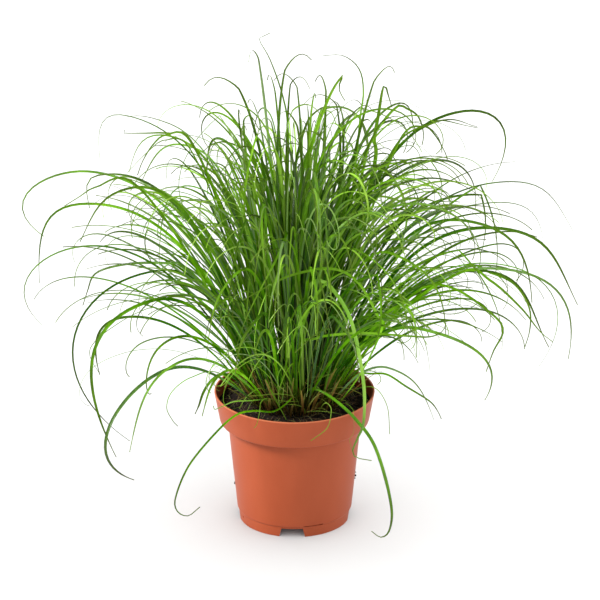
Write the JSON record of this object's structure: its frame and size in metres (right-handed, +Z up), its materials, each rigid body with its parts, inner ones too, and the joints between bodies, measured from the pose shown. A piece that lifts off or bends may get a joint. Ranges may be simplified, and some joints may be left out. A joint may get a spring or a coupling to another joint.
{
  "type": "potted umbrella sedge",
  "caption": "Young umbrella sedge with slender arching leaves, growing in a round terracotta-coloured plastic nursery pot.",
  "frame": {"origin": "on the pot's axis, on the surface that the pot stands on, under the middle of the whole plant", "axes": "+Z up; -Y towards the front of the plant, the side that the picture shows; +X to its right, along the longest side of the whole"},
  "size_m": [0.4125, 0.3667, 0.3901],
  "materials": {
    "pot": "moulded terracotta-coloured plastic, satin",
    "soil": "moist dark peat-based potting mix, rough and fibrous",
    "shoot": "fresh green leaf blades from a reddish-brown sheath",
    "leaf": "fresh green leaf blade, satin, folded along its middle rib"
  },
  "bodies": {
    "root": {"pot": "pot", "soil": "soil", "shoot_01": "shoot", "shoot_02": "shoot", "shoot_03": "shoot", "shoot_04": "shoot", "shoot_05": "shoot", "shoot_06": "shoot", "shoot_07": "shoot", "shoot_08": "shoot", "shoot_09": "shoot", "shoot_10": "shoot", "leaf_01": "leaf", "leaf_02": "leaf", "leaf_03": "leaf", "leaf_04": "leaf", "leaf_05": "leaf", "leaf_06": "leaf", "leaf_07": "leaf", "leaf_08": "leaf", "leaf_09": "leaf", "leaf_10": "leaf", "leaf_11": "leaf", "leaf_12": "leaf", "leaf_13": "leaf", "leaf_14": "leaf", "leaf_15": "leaf", "leaf_16": "leaf", "leaf_17": "leaf", "leaf_18": "leaf", "leaf_19": "leaf", "leaf_20": "leaf", "leaf_21": "leaf", "leaf_22": "leaf", "leaf_23": "leaf", "leaf_24": "leaf", "leaf_25": "leaf", "leaf_26": "leaf", "leaf_27": "leaf", "leaf_28": "leaf", "leaf_29": "leaf", "leaf_30": "leaf", "leaf_31": "leaf", "leaf_32": "leaf", "leaf_33": "leaf", "leaf_34": "leaf", "leaf_35": "leaf", "leaf_36": "leaf", "leaf_37": "leaf", "leaf_38": "leaf", "leaf_39": "leaf", "leaf_40": "leaf", "leaf_41": "leaf", "leaf_42": "leaf", "leaf_43": "leaf", "leaf_44": "leaf", "leaf_45": "leaf", "trailing_leaf_left": "leaf", "trailing_leaf_right": "leaf", "folded_leaf": "leaf"}
  },
  "joints": []
}
